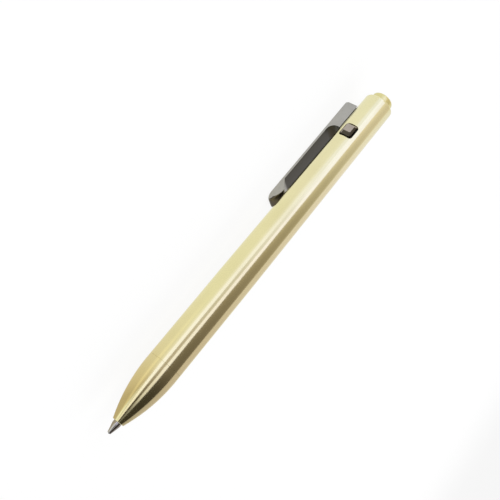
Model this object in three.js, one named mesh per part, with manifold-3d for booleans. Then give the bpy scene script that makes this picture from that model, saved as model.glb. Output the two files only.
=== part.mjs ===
// Retractable pen: a turned brass body with a titanium clip. The knob at the end sends the point out, and
// the small button in the side of the barrel lets it back.
// Millimetres. The pen is modelled along its own X axis, with the ball's front at x = 0 while the point is out
// and the knob towards +X. In the pen's frame +Y points at the clip and +Z at the side button.
// The finished pen is then laid on its clip, the one way in which it can't roll off a desk.
import * as THREE from "three";
import { mergeVertices } from "three/addons/utils/BufferGeometryUtils.js";
import Module from "manifold-3d";

const wasm = await Module();
wasm.setup();

// Clearances
const seatGap = 0.1; // between pieces that are pressed, screwed or resting together
const slideGap = 0.15; // between pieces that slide on each other
const stopGap = 0.1; // left at the end of a travel

// Travel
const stroke = 5; // from point out to point in
const latchOvertravel = 0.8; // how much further the knob goes in, to let the catch snap out
const buttonTravel = 1.1;

// Refill, a standard metal one with a serrated end plug
const refillLength = 98;
const refillRadius = 2.95;
const refillWall = 0.35;
const refillNeckRadius = 1.55;
const refillNeckWall = 0.3;
const refillShoulderX = 15.6; // flat shoulder that the return spring bears on
const refillShoulderRadius = 2.3;
const refillShoulderLength = 1.8; // cone from the flat shoulder to the full tube
const pointRadius = 1.3;
const pointConeLength = 3.2;
const pointHeadLength = 11; // cone and cylinder, up to the neck of the tube
const pointStemLength = 3.5; // the part pressed into the neck
const inkDuctRadius = 0.3;
const ballRadius = 0.4;
const ballPlay = 0.08;
const ballLip = 0.2; // how far behind the ball's front its socket starts
const socketLipWall = 0.1;
const plugLength = 6; // end plug outside the tube
const plugSpigotLength = 5;
const plugNotches = 8;
const plugNotchDepth = 0.5;
const plugNotchLength = 4;
const plugNotchWidth = 0.8;
const inkAir = 2; // empty tube before the plug

// Nose
const pointReach = 4.05; // how far the point stands out of the nose
const noseMouthRadius = 1.86;
const noseMouthRound = 0.15;
const noseOgiveLength = 19.35; // arc from the mouth to where it runs into the cylinder
const noseLength = 20.7;
const noseHoleLength = 3.8; // guide hole at the mouth
const springChamberRadius = 2.35;
const noseSpigotLength = 8.6;
const noseSpigotWall = 0.55;
const refillPlay = 0.2;
const sealRadius = 0.32; // section of the O-ring behind the nose

// Return spring
const springWireRadius = 0.2;
const springCoilRadius = 1.9;
const springPitch = 0.9;

// Barrel
const barrelFrontWall = 1.7;
const barrelRearWall = 1.18;
const barrelStraightLength = 32.6;
const barrelEndChamfer = 0.3;
const windowFromEnd = 16.05; // from the barrel's end to the middle of the button's window
const windowLength = 5.2;
const windowWidth = 4.75;
const windowCornerRadius = 0.95;

// Knob and rod
const knobReach = 2.7; // how far the knob stands out of the barrel while the point is out
const knobPlay = 0.23;
const knobEdgeRound = 0.5;
const knobCrown = 0.15;
const rodRadius = 1.5;
const rodFlatHeight = 1; // the flat that the catch lies on, from the axis
const rodThreadRadius = 1.05;
const rodThreadLength = 4.5; // in the knob
const cupPlay = 0.25;
const cupPocketDepth = 3.6;
const cupBackWall = 3.8;

// Catch sleeve, fixed in the barrel by the clip screws
const sleeveWindowFromFront = 6.85;
const sleeveWindowLength = 7.7;
const sleeveWindowWidth = 5;
const sleeveChamberRadius = 2.2;
const sleeveWebLength = 4; // rear wall that guides the rod
const sleeveChamberTail = 1.1; // chamber behind the ledge that the catch bears on

// Catch, a leaf spring riveted to the rod
const catchThickness = 0.25;
const catchWidth = 2;
const catchFootLength = 7.6; // lies on the rod's flat
const catchHookHeight = 2.55; // underside of the free end, from the axis
const catchHookLength = 0.75;
const catchFootFromCup = 1.5;
const rivetFromCup = 3.6;
const rivetRadius = 0.4;
const rivetHeadRadius = 0.8;
const rivetHeadHeight = 0.4;

// Side button
const buttonTopLength = 2.75;
const buttonTopWidth = 2.8;
const buttonTopOffset = 0.15; // towards the knob, which makes the front bevel the longer one
const buttonRise = 0.85; // above the barrel
const buttonBevel = 0.8; // slope from the side walls to the top
const buttonSidePlay = 0.5;
const buttonCornerRadius = 0.35;
const buttonEarLength = 1.4; // reaches under the barrel at both ends
const buttonEarWidth = 2.8;
const buttonEarThickness = 0.45;
const buttonFloorHeight = 3; // underside at rest, from the axis
const buttonLength = 4.5;

// Button spring, a leaf under the front ear
const buttonSpringThickness = 0.2;
const buttonSpringWidth = 2.2;
const buttonSpringFootLength = 2.9;
const buttonSpringDrop = 0.6;

// Clip
const clipFromEnd = 5.3; // from the barrel's end to the clip's
const clipLength = 43.55;
const clipWidth = 5.6;
const clipRise = 3.57; // outer face above the barrel's rear end
const clipArmThickness = 0.72;
const clipBlockLength = 9.8;
const clipBlockRound = 1;
const clipFilletRadius = 2.6;
const clipSeatGap = 0.2;
const clipBumpGap = 0.2;
const clipBumpFromFront = 4.55;
const clipRampLength = 4.2; // from the arm down to the bump
const clipBumpFlat = 0.4;
const clipLipThickness = 0.3;
const clipEndRound = 2.1;
const screwSpacing = 4.2;
const screwRadius = 0.8;
const screwHeadRadius = 1.4;
const screwHeadHeight = 0.8;
const screwSocketRadius = 0.65;
const screwSocketDepth = 0.45;
const screwRecess = 0.15; // head below the clip's outer face

// Facets
const bodySides = 36;
const bodyPhase = Math.PI / bodySides;
const innerSides = 32;
const smallSides = 24;
const holeSides = 20;
const arcSteps = 12;
const cornerSteps = 4;

// Radii that follow from the refill outwards
const noseBoreRadius = refillRadius + refillPlay;
const noseSpigotRadius = noseBoreRadius + noseSpigotWall;
const boreRadius = noseSpigotRadius + slideGap;
const barrelRadius = boreRadius + barrelFrontWall;
const barrelRearRadius = boreRadius + barrelRearWall;
const knobRadius = boreRadius - knobPlay;
const cupRadius = boreRadius - cupPlay;
const sleeveRadius = boreRadius - seatGap;
const rodHoleRadius = rodRadius + slideGap;
const threadHoleRadius = rodThreadRadius + seatGap;
const clipOuterRadius = barrelRearRadius + clipRise;
const clipArmRadius = clipOuterRadius - clipArmThickness;

// Stations along the pen, from the point to the knob
const noseFrontX = pointReach;
const springLedgeX = noseFrontX + noseHoleLength;
const springChamberEndX = refillShoulderX - latchOvertravel - 3 * stopGap;
const seamX = noseFrontX + noseLength;
const spigotEndX = seamX + noseSpigotLength;
const barrelFrontX = seamX + seatGap;
const barrelTaperX = seamX + barrelStraightLength;
const cupFloorX = refillLength + seatGap;
const cupFrontX = cupFloorX - cupPocketDepth;
const cupBackX = cupFloorX + cupBackWall;
const sleeveFrontX = cupBackX + stroke + stopGap;
const sleeveWindowX = sleeveFrontX + sleeveWindowFromFront;
const ledgeX = sleeveWindowX + sleeveWindowLength;
const sleeveWebX = ledgeX + sleeveChamberTail;
const sleeveBackX = sleeveWebX + sleeveWebLength;
const windowX = (sleeveWindowX + ledgeX) / 2 - slideGap;
const barrelEndX = windowX + windowFromEnd;
const buttonX = windowX + (windowLength - buttonLength) / 2 - slideGap;
const knobFrontX = sleeveBackX + latchOvertravel + stopGap;
const knobEndX = barrelEndX + knobReach;
const clipBackX = barrelEndX - clipFromEnd;
const clipFrontX = clipBackX - clipLength;
const clipBlockX = clipBackX - clipBlockLength;
const clipBumpX = clipFrontX + clipBumpFromFront;
const screwMiddleX = clipBackX - clipBlockLength / 2;

function barrelRadiusAt(x) {
  const along = THREE.MathUtils.clamp((x - barrelTaperX) / (barrelEndX - barrelTaperX), 0, 1);
  return THREE.MathUtils.lerp(barrelRadius, barrelRearRadius, along);
}

// Heights of the button's face and of the facet opposite it, from the axis
const buttonTopHeight = barrelRadiusAt(buttonX) + buttonRise;
const barrelFacetHeight = barrelRadius * Math.cos(Math.PI / bodySides);

// A turned form: the profile is a list of [x, radius], outside first and then back along the bore. Its facets
// are turned by half a facet on the body, which puts flats, not edges, towards the button and the clip.
function turned(profile, sides, phase = 0) {
  const points = profile.map(([x, radius]) => new THREE.Vector2(radius, x));
  return new THREE.LatheGeometry(points, sides, phase).rotateZ(-Math.PI / 2);
}

// A closed ring of profile points, for pieces with a bore right through.
function turnedRing(profile, sides, phase = 0) {
  return turned([...profile, profile[0]], sides, phase);
}

function arcPoints(centreX, centreY, radius, from, to, steps) {
  return Array.from({ length: steps + 1 }, (_, i) => {
    const angle = THREE.MathUtils.lerp(from, to, i / steps);
    return [centreX + radius * Math.cos(angle), centreY + radius * Math.sin(angle)];
  });
}

function outline(points) {
  return new THREE.Shape(points.map(([x, y]) => new THREE.Vector2(x, y)));
}

function roundedRectangle(length, width, radius) {
  const x = length / 2 - radius;
  const y = width / 2 - radius;
  const quarter = Math.PI / 2;
  const corners = [
    [x, y, 0],
    [-x, y, quarter],
    [-x, -y, 2 * quarter],
    [x, -y, 3 * quarter],
  ];
  return corners.flatMap(([cx, cy, from]) => arcPoints(cx, cy, radius, from, from + quarter, cornerSteps));
}

// A plate whose outline lies in the pen's XY plane, standing from one height to another along Z.
function upright(points, low, high) {
  const settings = { depth: high - low, bevelEnabled: false };
  return new THREE.ExtrudeGeometry(outline(points), settings).translate(0, 0, low);
}

// A strip whose outline lies in the pen's XZ plane, centred on the middle of the pen.
function sideways(points, width) {
  const settings = { depth: width, bevelEnabled: false };
  const strip = new THREE.ExtrudeGeometry(outline(points), settings);
  return strip.rotateX(Math.PI / 2).translate(0, width / 2, 0);
}

// A round hole or stud along the clip's direction (Y).
function clipwise(x, radius, low, high, sides) {
  return new THREE.CylinderGeometry(radius, radius, high - low, sides).translate(x, (low + high) / 2, 0);
}

// Joins outlines of equal counts, each at its own height, into one closed form.
function lofted(sections) {
  const count = sections[0].points.length;
  const positions = sections.flatMap(({ points, height }) => points.flatMap(([x, y]) => [x, y, height]));
  const faces = [];
  for (let level = 0; level < sections.length - 1; level++) {
    for (let i = 0; i < count; i++) {
      const next = (i + 1) % count;
      const a = level * count + i;
      const b = level * count + next;
      faces.push(a, b, b + count, a, b + count, a + count);
    }
  }
  const top = (sections.length - 1) * count;
  for (let i = 1; i < count - 1; i++) {
    faces.push(0, i + 1, i);
    faces.push(top, top + i, top + i + 1);
  }
  const geometry = new THREE.BufferGeometry();
  geometry.setAttribute("position", new THREE.Float32BufferAttribute(positions, 3));
  geometry.setIndex(faces);
  return geometry;
}

function toSolid(geometry) {
  const bare = geometry.clone();
  bare.deleteAttribute("normal");
  bare.deleteAttribute("uv");
  const merged = mergeVertices(bare, 1e-4);
  const vertProperties = merged.getAttribute("position").array;
  const triVerts = new Uint32Array(merged.index.array);
  return new wasm.Manifold(new wasm.Mesh({ numProp: 3, vertProperties, triVerts }));
}

function toGeometry(solid) {
  const mesh = solid.getMesh();
  const geometry = new THREE.BufferGeometry();
  geometry.setAttribute("position", new THREE.BufferAttribute(mesh.vertProperties, 3));
  geometry.setIndex(new THREE.BufferAttribute(mesh.triVerts, 1));
  return geometry;
}

function cut(body, ...tools) {
  return toGeometry(tools.reduce((left, tool) => left.subtract(toSolid(tool)), toSolid(body)));
}

function join(first, ...rest) {
  return toGeometry(rest.reduce((sum, piece) => sum.add(toSolid(piece)), toSolid(first)));
}

function common(first, second) {
  return toGeometry(toSolid(first).intersect(toSolid(second)));
}

class Coil extends THREE.Curve {
  constructor(start, length, radius, turns) {
    super();
    Object.assign(this, { start, length, radius, turns });
  }

  getPoint(t, target = new THREE.Vector3()) {
    const angle = 2 * Math.PI * this.turns * t;
    const y = this.radius * Math.cos(angle);
    const z = this.radius * Math.sin(angle);
    return target.set(this.start + this.length * t, y, z);
  }
}

// Places of the two screws that hold the clip and the catch sleeve
const screwXs = [screwMiddleX - screwSpacing / 2, screwMiddleX + screwSpacing / 2];

// Barrel: turned, through-bored, with the button's window and two screw holes
function barrel() {
  const sealSeatRadius = noseSpigotRadius + 2 * sealRadius + 2 * seatGap;
  const sealSeatDepth = 2 * sealRadius + seatGap;
  const tube = turnedRing(
    [
      [barrelFrontX, barrelRadius],
      [barrelTaperX, barrelRadius],
      [barrelEndX - barrelEndChamfer, barrelRadiusAt(barrelEndX - barrelEndChamfer)],
      [barrelEndX, barrelRearRadius - barrelEndChamfer],
      [barrelEndX, boreRadius],
      [barrelFrontX + sealSeatDepth, boreRadius],
      [barrelFrontX + sealSeatDepth, sealSeatRadius],
      [barrelFrontX, sealSeatRadius],
    ],
    bodySides,
    bodyPhase,
  );
  const windowOutline = roundedRectangle(windowLength, windowWidth, windowCornerRadius);
  const window = upright(windowOutline, rodRadius, barrelRadius + 1).translate(windowX, 0, 0);
  const holes = screwXs.map((x) => clipwise(x, screwRadius + slideGap, rodRadius, clipOuterRadius, holeSides));
  return cut(tube, window, ...holes);
}

// Nose: an arc from the mouth to the cylinder, a stepped bore for point, spring and refill, and a spigot
function noseCone() {
  const drop = barrelRadius - noseMouthRadius;
  const arcRadius = (noseOgiveLength ** 2 + drop ** 2) / (2 * drop);
  const arcEndX = noseFrontX + noseOgiveLength;
  const spread = Math.asin(noseOgiveLength / arcRadius);
  const quarter = Math.PI / 2;
  const ogive = arcPoints(arcEndX, barrelRadius - arcRadius, arcRadius, quarter + spread, quarter, arcSteps);
  const mouth = ogive[0];
  const holeRadius = pointRadius + slideGap;
  return turnedRing(
    [
      [mouth[0], mouth[1] - noseMouthRound],
      [mouth[0] + noseMouthRound, mouth[1] + noseMouthRound / 2],
      ...ogive.slice(1),
      [seamX, barrelRadius],
      [seamX, noseSpigotRadius],
      [spigotEndX, noseSpigotRadius],
      [spigotEndX, noseBoreRadius],
      [springChamberEndX, noseBoreRadius],
      [springChamberEndX, springChamberRadius],
      [springLedgeX, springChamberRadius],
      [springLedgeX, holeRadius],
      [noseFrontX, holeRadius],
    ],
    bodySides,
    bodyPhase,
  );
}

function noseSeal() {
  const ring = new THREE.TorusGeometry(noseSpigotRadius + seatGap + sealRadius, sealRadius, 8, innerSides);
  return ring.rotateY(Math.PI / 2).translate(barrelFrontX + sealRadius, 0, 0);
}

// Return spring, from the ledge in the nose to the refill's shoulder
function returnSpring() {
  const start = springLedgeX + springWireRadius + seatGap;
  const length = refillShoulderX - seatGap - springWireRadius - start;
  const turns = Math.floor(length / springPitch);
  const path = new Coil(start, length, springCoilRadius, turns);
  const wire = arcPoints(0, 0, springWireRadius, 0, 2 * Math.PI * 0.8, 4);
  const settings = { steps: 8 * turns, extrudePath: path, bevelEnabled: false };
  return new THREE.ExtrudeGeometry(outline(wire), settings);
}

// Clip: milled from a bar, with its block on the barrel, a thin arm, and a bump that grips the pocket
function clip() {
  const bumpRadius = barrelRadiusAt(clipBumpX) + clipBumpGap;
  const quarter = Math.PI / 2;
  const shoulder = arcPoints(
    clipBackX - clipBlockRound,
    clipOuterRadius - clipBlockRound,
    clipBlockRound,
    quarter,
    0,
    5,
  );
  const fillet = arcPoints(
    clipBlockX - clipFilletRadius,
    clipArmRadius - clipFilletRadius,
    clipFilletRadius,
    0,
    quarter,
    6,
  );
  const side = upright(
    [
      [clipFrontX, clipOuterRadius],
      ...shoulder,
      [clipBackX, sleeveRadius],
      [clipBlockX, sleeveRadius],
      ...fillet,
      [clipBumpX + clipRampLength, clipArmRadius],
      [clipBumpX + clipBumpFlat / 2, bumpRadius],
      [clipBumpX - clipBumpFlat / 2, bumpRadius],
      [clipFrontX, clipOuterRadius - clipLipThickness],
    ].reverse(),
    -clipWidth / 2,
    clipWidth / 2,
  );
  const roundEnd = Array.from({ length: arcSteps + 1 }, (_, i) => {
    const angle = quarter + (Math.PI * i) / arcSteps;
    const x = clipFrontX + clipEndRound + clipEndRound * Math.cos(angle);
    return [x, (clipWidth / 2) * Math.sin(angle)];
  });
  const planPoints = [[clipBackX + 1, clipWidth / 2], ...roundEnd, [clipBackX + 1, -clipWidth / 2]];
  const plan = upright(planPoints, 0, clipOuterRadius + 1).rotateX(-quarter);
  const seat = turned(
    [
      [clipBlockX - clipFilletRadius, 0],
      [clipBlockX - clipFilletRadius, barrelRadiusAt(clipBlockX) + clipSeatGap],
      [clipBackX + 1, barrelRadiusAt(clipBackX) + clipSeatGap],
      [clipBackX + 1, 0],
    ],
    bodySides,
    bodyPhase,
  );
  const headFloor = clipOuterRadius - screwRecess - screwHeadHeight - seatGap;
  const holes = screwXs.flatMap((x) => [
    clipwise(x, screwRadius + slideGap, 0, clipOuterRadius, holeSides),
    clipwise(x, screwHeadRadius + slideGap, headFloor, clipOuterRadius + 1, holeSides),
  ]);
  return cut(common(side, plan), seat, ...holes);
}

function clipScrew(x) {
  const top = clipOuterRadius - screwRecess;
  const neck = top - screwHeadHeight;
  const body = new THREE.LatheGeometry(
    [
      new THREE.Vector2(0, sleeveChamberRadius + slideGap),
      new THREE.Vector2(screwRadius, sleeveChamberRadius + slideGap),
      new THREE.Vector2(screwRadius, neck),
      new THREE.Vector2(screwHeadRadius, neck),
      new THREE.Vector2(screwHeadRadius, top),
      new THREE.Vector2(0, top),
    ],
    smallSides,
  );
  const socket = clipwise(0, screwSocketRadius, top - screwSocketDepth, top + 1, 6);
  return cut(body, socket).translate(x, 0, 0);
}

// Catch sleeve: carries the catch's ledge, guides the rod and leaves room for button and springs
function catchSleeve() {
  const body = turnedRing(
    [
      [sleeveFrontX, sleeveRadius],
      [sleeveBackX, sleeveRadius],
      [sleeveBackX, rodHoleRadius],
      [sleeveWebX, rodHoleRadius],
      [sleeveWebX, sleeveChamberRadius],
      [sleeveFrontX, sleeveChamberRadius],
    ],
    smallSides,
  );
  const windowFloor = buttonFloorHeight - buttonTravel - 3 * stopGap;
  const opening = roundedRectangle(sleeveWindowLength, sleeveWindowWidth, windowCornerRadius);
  const middle = (sleeveWindowX + ledgeX) / 2;
  const window = upright(opening, windowFloor, sleeveRadius + 1).translate(middle, 0, 0);
  const foot = buttonSpringFoot();
  const groove = sideways(
    [
      [foot.x - seatGap, foot.height - seatGap],
      [foot.x + buttonSpringFootLength, foot.height - seatGap],
      [sleeveWindowX + seatGap, foot.height - buttonSpringDrop - 2 * seatGap],
      [sleeveWindowX + seatGap, sleeveRadius + 1],
      [foot.x - seatGap, sleeveRadius + 1],
    ],
    buttonSpringWidth + 2 * seatGap,
  );
  const holeFloor = (rodHoleRadius + sleeveChamberRadius) / 2;
  const holes = screwXs.map((x) => clipwise(x, screwRadius + seatGap, holeFloor, sleeveRadius + 1, holeSides));
  return cut(body, window, groove, ...holes);
}

// Side button: bevelled top, straight sides in the window, and ears that keep it in the barrel
function sideButton() {
  const width = windowWidth - 2 * buttonSidePlay;
  const block = roundedRectangle(buttonLength, width, buttonCornerRadius);
  const top = roundedRectangle(buttonTopLength, buttonTopWidth, buttonCornerRadius);
  const face = top.map(([x, y]) => [x + buttonTopOffset, y]);
  const body = lofted([
    { points: block, height: buttonFloorHeight + buttonEarThickness / 2 },
    { points: block, height: buttonTopHeight - buttonBevel },
    { points: face, height: buttonTopHeight },
  ]);
  const earOutline = roundedRectangle(buttonLength + 2 * buttonEarLength, buttonEarWidth, buttonCornerRadius);
  const ears = upright(earOutline, buttonFloorHeight, buttonFloorHeight + buttonEarThickness);
  return join(body, ears).translate(buttonX, 0, 0);
}

function buttonSpringFoot() {
  const x = sleeveFrontX + 5 * seatGap;
  const height = buttonFloorHeight - buttonSpringThickness - seatGap + buttonSpringDrop;
  return { x, height };
}

// Button spring: a leaf held in the sleeve's groove, its free end under the button's front ear
function buttonSpring() {
  const foot = buttonSpringFoot();
  const footEndX = foot.x + buttonSpringFootLength;
  const endX = buttonX - buttonLength / 2 - seatGap;
  const bendX = endX - buttonEarLength;
  const low = foot.height - buttonSpringDrop;
  return sideways(
    [
      [foot.x, foot.height],
      [footEndX, foot.height],
      [bendX, low],
      [endX, low],
      [endX, low + buttonSpringThickness],
      [bendX, low + buttonSpringThickness],
      [footEndX, foot.height + buttonSpringThickness],
      [foot.x, foot.height + buttonSpringThickness],
    ],
    buttonSpringWidth,
  );
}

// Catch: its foot lies on the rod, its free end stands behind the sleeve's ledge
function catchLeaf() {
  const footX = cupBackX + catchFootFromCup;
  const bendX = footX + catchFootLength;
  const hookX = ledgeX - stopGap - catchHookLength;
  const endX = ledgeX - stopGap;
  const low = rodFlatHeight + seatGap;
  const leaf = sideways(
    [
      [footX, low],
      [bendX, low],
      [hookX, catchHookHeight],
      [endX, catchHookHeight],
      [endX, catchHookHeight + catchThickness],
      [hookX, catchHookHeight + catchThickness],
      [bendX, low + catchThickness],
      [footX, low + catchThickness],
    ],
    catchWidth,
  );
  const hole = clipwise(0, rivetRadius + seatGap, 0, catchHookHeight, holeSides);
  return cut(leaf, hole.rotateX(Math.PI / 2).translate(cupBackX + rivetFromCup, 0, 0));
}

function catchRivet() {
  const neck = rodFlatHeight + catchThickness + 2 * seatGap;
  const profile = [
    [-rodFlatHeight / 2, 0],
    [-rodFlatHeight / 2, rivetRadius],
    [neck, rivetRadius],
    [neck, rivetHeadRadius],
    [neck + rivetHeadHeight, rivetHeadRadius / 2],
    [neck + rivetHeadHeight, 0],
  ];
  return turned(profile, smallSides).rotateY(-Math.PI / 2).translate(cupBackX + rivetFromCup, 0, 0);
}

// Rod: joins the cup to the knob, flattened on the button's side for the catch
function plungerRod() {
  const shaft = turned(
    [
      [cupFloorX + cupBackWall / 3, 0],
      [cupFloorX + cupBackWall / 3, rodThreadRadius],
      [cupBackX + seatGap, rodThreadRadius],
      [cupBackX + seatGap, rodRadius],
      [knobFrontX - seatGap, rodRadius],
      [knobFrontX - seatGap, rodThreadRadius],
      [knobFrontX + rodThreadLength, rodThreadRadius],
      [knobFrontX + rodThreadLength, 0],
    ],
    innerSides,
  );
  const flatStart = cupBackX + catchFootFromCup - seatGap;
  const flat = sideways(
    [
      [flatStart, rodFlatHeight],
      [sleeveWebX, rodFlatHeight],
      [sleeveWebX, 2 * rodRadius],
      [flatStart, 2 * rodRadius],
    ],
    4 * rodRadius,
  );
  const rivetHole = clipwise(0, rivetRadius + seatGap, -rodFlatHeight, 2 * rodRadius, holeSides);
  return cut(shaft, flat, rivetHole.rotateX(Math.PI / 2).translate(cupBackX + rivetFromCup, 0, 0));
}

function refillCup() {
  const pocketRadius = refillRadius + slideGap;
  return turnedRing(
    [
      [cupFrontX, cupRadius],
      [cupBackX, cupRadius],
      [cupBackX, threadHoleRadius],
      [cupFloorX, threadHoleRadius],
      [cupFloorX, pocketRadius],
      [cupFrontX, pocketRadius],
    ],
    innerSides,
  );
}

function pushKnob() {
  const quarter = Math.PI / 2;
  const edgeX = knobEndX - knobEdgeRound;
  const edge = arcPoints(edgeX, knobRadius - knobEdgeRound, knobEdgeRound, quarter, 0, 4);
  return turned(
    [
      [knobFrontX + rodThreadLength + seatGap, 0],
      [knobFrontX + rodThreadLength + seatGap, threadHoleRadius],
      [knobFrontX, threadHoleRadius],
      [knobFrontX, knobRadius - seatGap],
      [knobFrontX + seatGap, knobRadius],
      ...edge,
      [knobEndX + knobCrown * 0.75, knobRadius / 2],
      [knobEndX + knobCrown, 0],
    ],
    bodySides,
    bodyPhase,
  );
}

function refillTube() {
  const coneEndX = refillShoulderX + refillShoulderLength;
  const tubeBore = refillRadius - refillWall;
  return turnedRing(
    [
      [pointHeadLength + seatGap, refillNeckRadius],
      [refillShoulderX, refillNeckRadius],
      [refillShoulderX, refillShoulderRadius],
      [coneEndX, refillRadius],
      [refillLength - plugLength, refillRadius],
      [refillLength - plugLength, tubeBore],
      [coneEndX, tubeBore],
      [refillShoulderX + refillWall, refillNeckRadius - refillNeckWall],
      [pointHeadLength + seatGap, refillNeckRadius - refillNeckWall],
    ],
    innerSides,
  );
}

function refillPoint() {
  const cupRadiusAtLip = Math.sqrt((ballRadius + ballPlay) ** 2 - (ballRadius - ballLip) ** 2);
  const lipAngle = Math.atan2(cupRadiusAtLip, ballLip - ballRadius);
  const ductAngle = Math.asin(inkDuctRadius / (ballRadius + ballPlay));
  const socket = arcPoints(ballRadius, 0, ballRadius + ballPlay, ductAngle, lipAngle, 6);
  const stemRadius = refillNeckRadius - refillNeckWall - seatGap;
  return turnedRing(
    [
      ...socket,
      [ballLip, cupRadiusAtLip + socketLipWall],
      [pointConeLength, pointRadius],
      [pointHeadLength, pointRadius],
      [pointHeadLength, stemRadius],
      [pointHeadLength + pointStemLength, stemRadius],
      [pointHeadLength + pointStemLength, inkDuctRadius],
    ],
    innerSides,
  );
}

function writingBall() {
  return new THREE.SphereGeometry(ballRadius, 12, 8).translate(ballRadius, 0, 0);
}

function inkColumn() {
  const radius = refillRadius - refillWall - slideGap;
  const start = refillShoulderX + refillShoulderLength + slideGap;
  const end = refillLength - plugLength - plugSpigotLength - inkAir;
  return turned(
    [
      [start, 0],
      [start, radius],
      [end, radius],
      [end, 0],
    ],
    smallSides,
  );
}

function refillPlug() {
  const seatX = refillLength - plugLength + seatGap;
  const spigotRadius = refillRadius - refillWall - seatGap;
  const body = turned(
    [
      [seatX - plugSpigotLength, 0],
      [seatX - plugSpigotLength, spigotRadius],
      [seatX, spigotRadius],
      [seatX, refillRadius],
      [refillLength, refillRadius],
      [refillLength, 0],
    ],
    innerSides,
  );
  const notches = Array.from({ length: plugNotches }, (_, i) => {
    const size = [plugNotchLength, 2 * plugNotchDepth, plugNotchWidth];
    const notch = new THREE.BoxGeometry(...size).translate(refillLength - plugNotchLength / 2 + seatGap, 0, 0);
    return notch.translate(0, refillRadius, 0).rotateX((2 * Math.PI * i) / plugNotches);
  });
  return cut(body, ...notches);
}

const brass = new THREE.MeshStandardMaterial({ color: 0xd8bf7a, roughness: 0.32, metalness: 1 });
const titanium = new THREE.MeshStandardMaterial({ color: 0x8f8b82, roughness: 0.6, metalness: 1 });
const buttonTitanium = new THREE.MeshStandardMaterial({ color: 0x9a8f82, roughness: 0.55, metalness: 1 });
const steel = new THREE.MeshStandardMaterial({ color: 0xb9b9b6, roughness: 0.25, metalness: 1 });
const springSteel = new THREE.MeshStandardMaterial({ color: 0x77787a, roughness: 0.35, metalness: 1 });
const rubber = new THREE.MeshStandardMaterial({ color: 0x141414, roughness: 0.8, metalness: 0 });
const acetal = new THREE.MeshStandardMaterial({ color: 0x1c1d20, roughness: 0.5, metalness: 0 });
const carbide = new THREE.MeshStandardMaterial({ color: 0x3b3a38, roughness: 0.2, metalness: 1 });
const ink = new THREE.MeshStandardMaterial({ color: 0x0b0d12, roughness: 0.3, metalness: 0 });

const pen = new THREE.Group();

function add(name, geometry, material) {
  const mesh = new THREE.Mesh(geometry, material);
  mesh.name = name;
  pen.add(mesh);
}

add("barrel", barrel(), brass);
add("nose_cone", noseCone(), brass);
add("nose_seal", noseSeal(), rubber);
add("clip", clip(), titanium);
add("clip_screw_front", clipScrew(screwXs[0]), steel);
add("clip_screw_rear", clipScrew(screwXs[1]), steel);
add("catch_sleeve", catchSleeve(), steel);
add("return_spring", returnSpring(), springSteel);
add("side_button", sideButton(), buttonTitanium);
add("button_spring", buttonSpring(), springSteel);
add("push_knob", pushKnob(), brass);
add("plunger_rod", plungerRod(), steel);
add("catch_leaf", catchLeaf(), springSteel);
add("catch_rivet", catchRivet(), steel);
add("refill_cup", refillCup(), steel);
add("refill_plug", refillPlug(), acetal);
add("refill_tube", refillTube(), steel);
add("ink_column", inkColumn(), ink);
add("refill_point", refillPoint(), steel);
add("writing_ball", writingBall(), carbide);

// Lay the pen on its clip, the button towards +Y, with the middle of its box at x = 0 and y = 0
pen.rotation.x = -Math.PI / 2;
pen.position.set(-(knobEndX + knobCrown) / 2, (barrelFacetHeight - buttonTopHeight) / 2, clipOuterRadius);

const part = new THREE.Group();
part.add(pen);

export default part;
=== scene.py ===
import math

import bmesh
import bpy
from mathutils import Matrix, Vector


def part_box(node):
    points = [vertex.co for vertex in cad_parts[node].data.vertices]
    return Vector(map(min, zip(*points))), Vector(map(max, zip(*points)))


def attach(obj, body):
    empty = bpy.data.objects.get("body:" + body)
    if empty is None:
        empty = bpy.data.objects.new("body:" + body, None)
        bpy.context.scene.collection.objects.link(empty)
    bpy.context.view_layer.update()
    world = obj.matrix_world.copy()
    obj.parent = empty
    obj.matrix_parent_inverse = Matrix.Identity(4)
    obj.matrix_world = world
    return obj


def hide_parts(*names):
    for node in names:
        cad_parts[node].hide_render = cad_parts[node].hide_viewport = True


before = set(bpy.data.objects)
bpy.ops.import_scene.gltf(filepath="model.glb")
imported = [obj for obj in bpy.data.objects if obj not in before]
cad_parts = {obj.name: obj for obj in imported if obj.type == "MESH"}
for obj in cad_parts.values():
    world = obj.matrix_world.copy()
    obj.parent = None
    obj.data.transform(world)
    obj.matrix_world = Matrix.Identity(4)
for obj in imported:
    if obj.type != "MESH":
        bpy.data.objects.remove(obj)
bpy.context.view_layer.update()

# Barrel: a brass tube, turned outside and bored through. A window with rounded corners is milled in its side
# for the button, and two holes under the clip take the clip's screws. Fine turning lines run round it.
mm = 0.001
knob_low, knob_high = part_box("push_knob")
axis = Vector((0, (knob_low.y + knob_high.y) / 2, (knob_low.z + knob_high.z) / 2))  # the pen's axis
seam_reach = 0.04 * mm  # how far barrel and nose each reach into the gap between them
barrel_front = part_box("barrel")[0].x - seam_reach
barrel_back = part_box("barrel")[1].x
barrel_radius = 5.55 * mm
barrel_back_radius = 5.03 * mm
barrel_bore = 3.85 * mm
barrel_straight = 32.5 * mm
barrel_reach = 0.25 * mm  # past the end of the CAD's barrel
barrel_end = barrel_back + barrel_reach
barrel_round = 0.9 * mm
barrel_edge = 0.05 * mm
seam_edge = 0.025 * mm
seal_seat_radius = 4.54 * mm
seal_seat_depth = 0.74 * mm
window_from_back = 16.05 * mm
window_length = 5.2 * mm
window_width = 4.75 * mm
window_corner = 0.95 * mm
window_x = barrel_back - window_from_back
screw_hole_radius = 0.95 * mm
screw_nodes = ("clip_screw_front", "clip_screw_rear")
screw_places = [(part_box(node)[0].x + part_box(node)[1].x) / 2 for node in screw_nodes]
cut_floor = 1.5 * mm  # window and screw holes are cut from this distance from the axis, inside the bore,
cut_top = 7 * mm  # to this one, outside the barrel
merge_distance = 0.0005 * mm
sliver = 0.0002 * mm
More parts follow.
